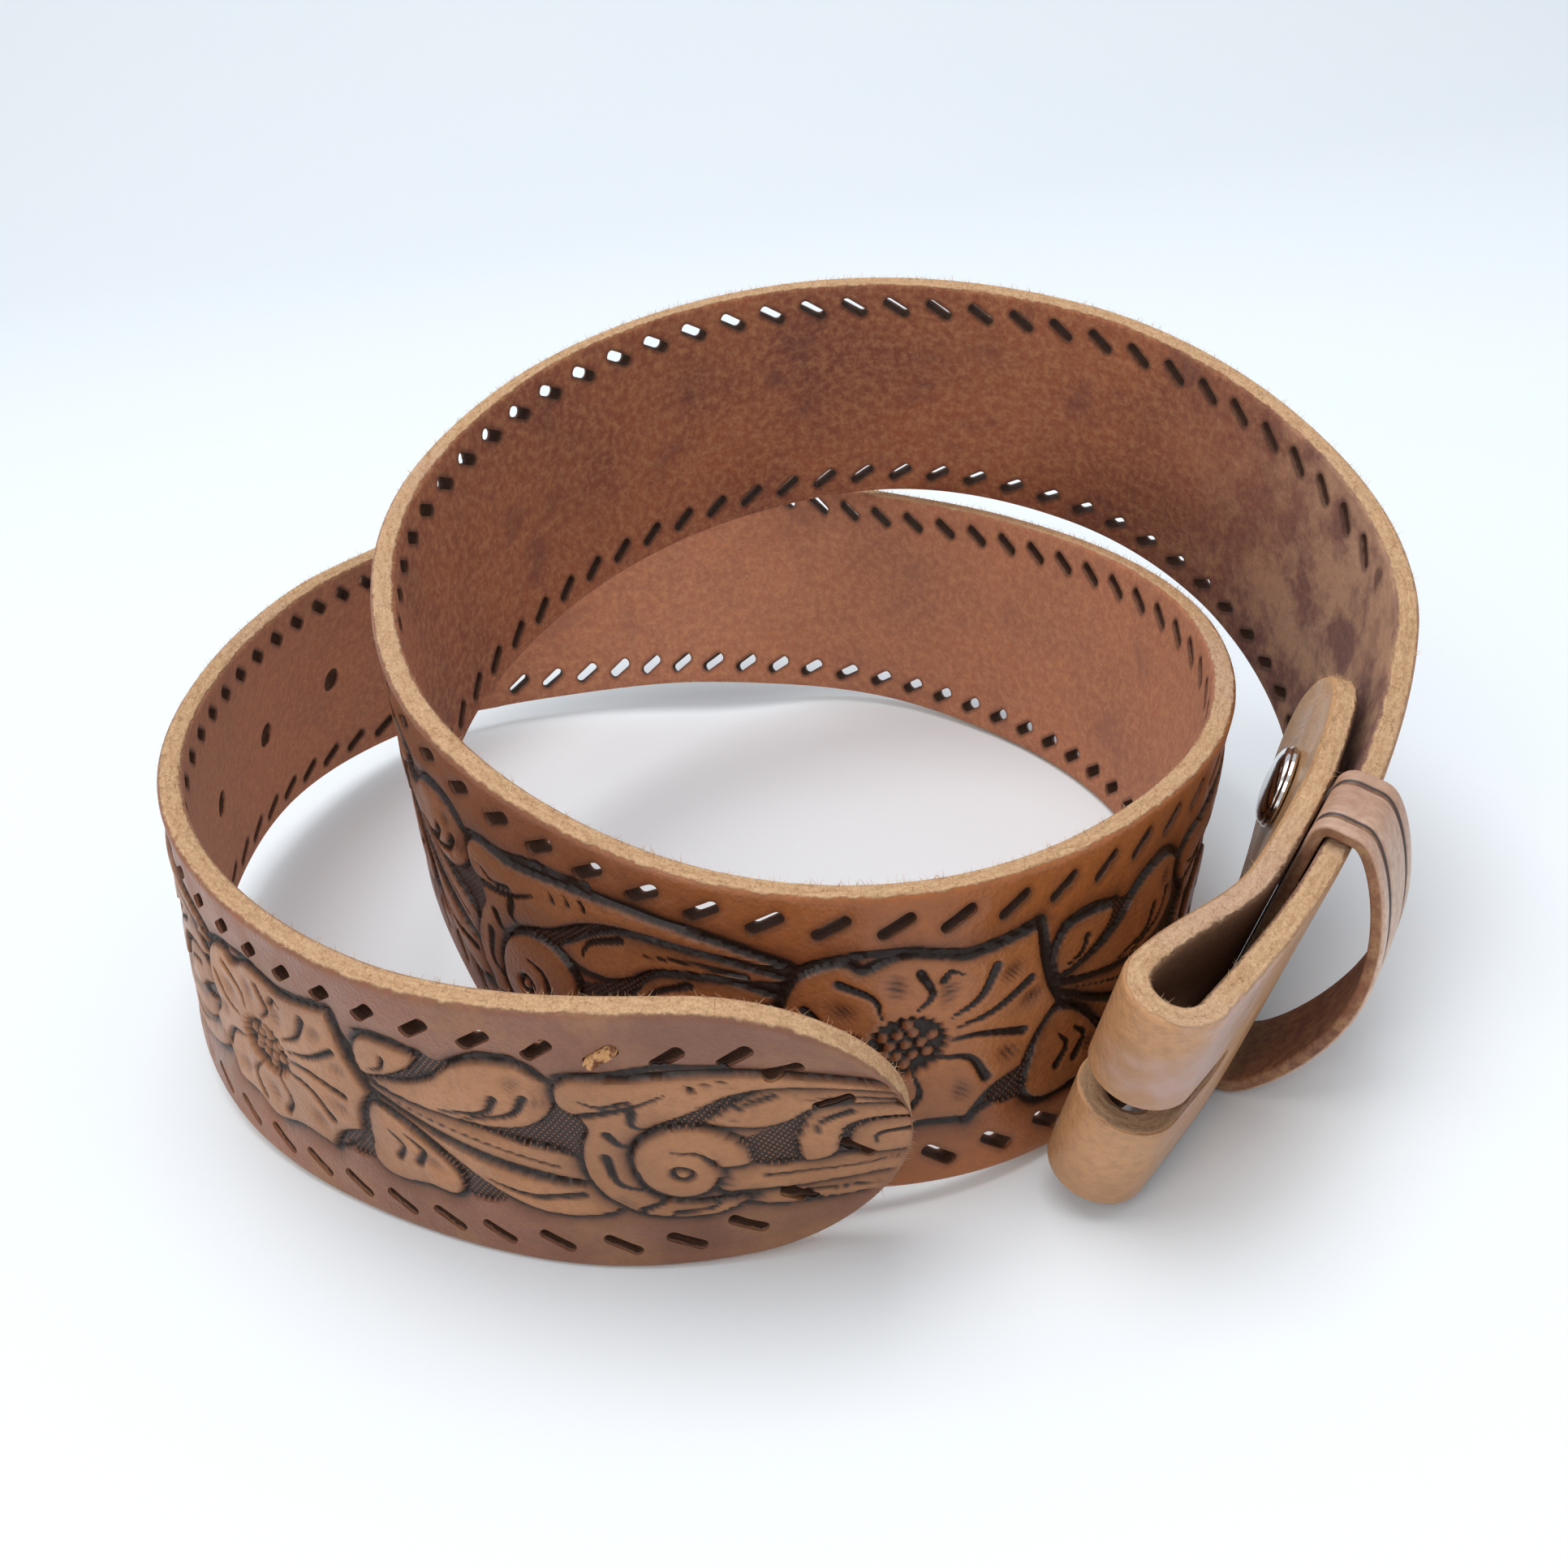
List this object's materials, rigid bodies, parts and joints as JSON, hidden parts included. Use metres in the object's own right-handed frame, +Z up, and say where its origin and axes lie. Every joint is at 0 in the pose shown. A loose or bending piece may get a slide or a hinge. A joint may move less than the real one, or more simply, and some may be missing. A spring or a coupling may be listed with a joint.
{
  "type": "western tooled belt",
  "caption": "Tooled leather strap belt, coiled on edge, with a pointed tip, laced-edge slots, a folded snap end for a buckle and a keeper loop.",
  "frame": {"origin": "on the surface that the belt lies on, under the middle of its box", "axes": "+Z up, along the strap's width; -Y towards the free tip and the folded end; +X towards the keeper"},
  "size_m": [0.1964, 0.2032, 0.0915],
  "materials": {
    "strap_leather": "tooled grain outside, suede flesh inside",
    "keeper_leather": "smooth grain with two dark grooves",
    "polished_metal": "polished nickel",
    "plain_metal": "plain nickel",
    "lace_leather": "raw cut lace"
  },
  "bodies": {
    "root": {"strap": "strap_leather", "keeper": "keeper_leather", "snap_cap": "polished_metal", "snap_post": "plain_metal", "lace_remnant": "lace_leather"}
  },
  "joints": []
}
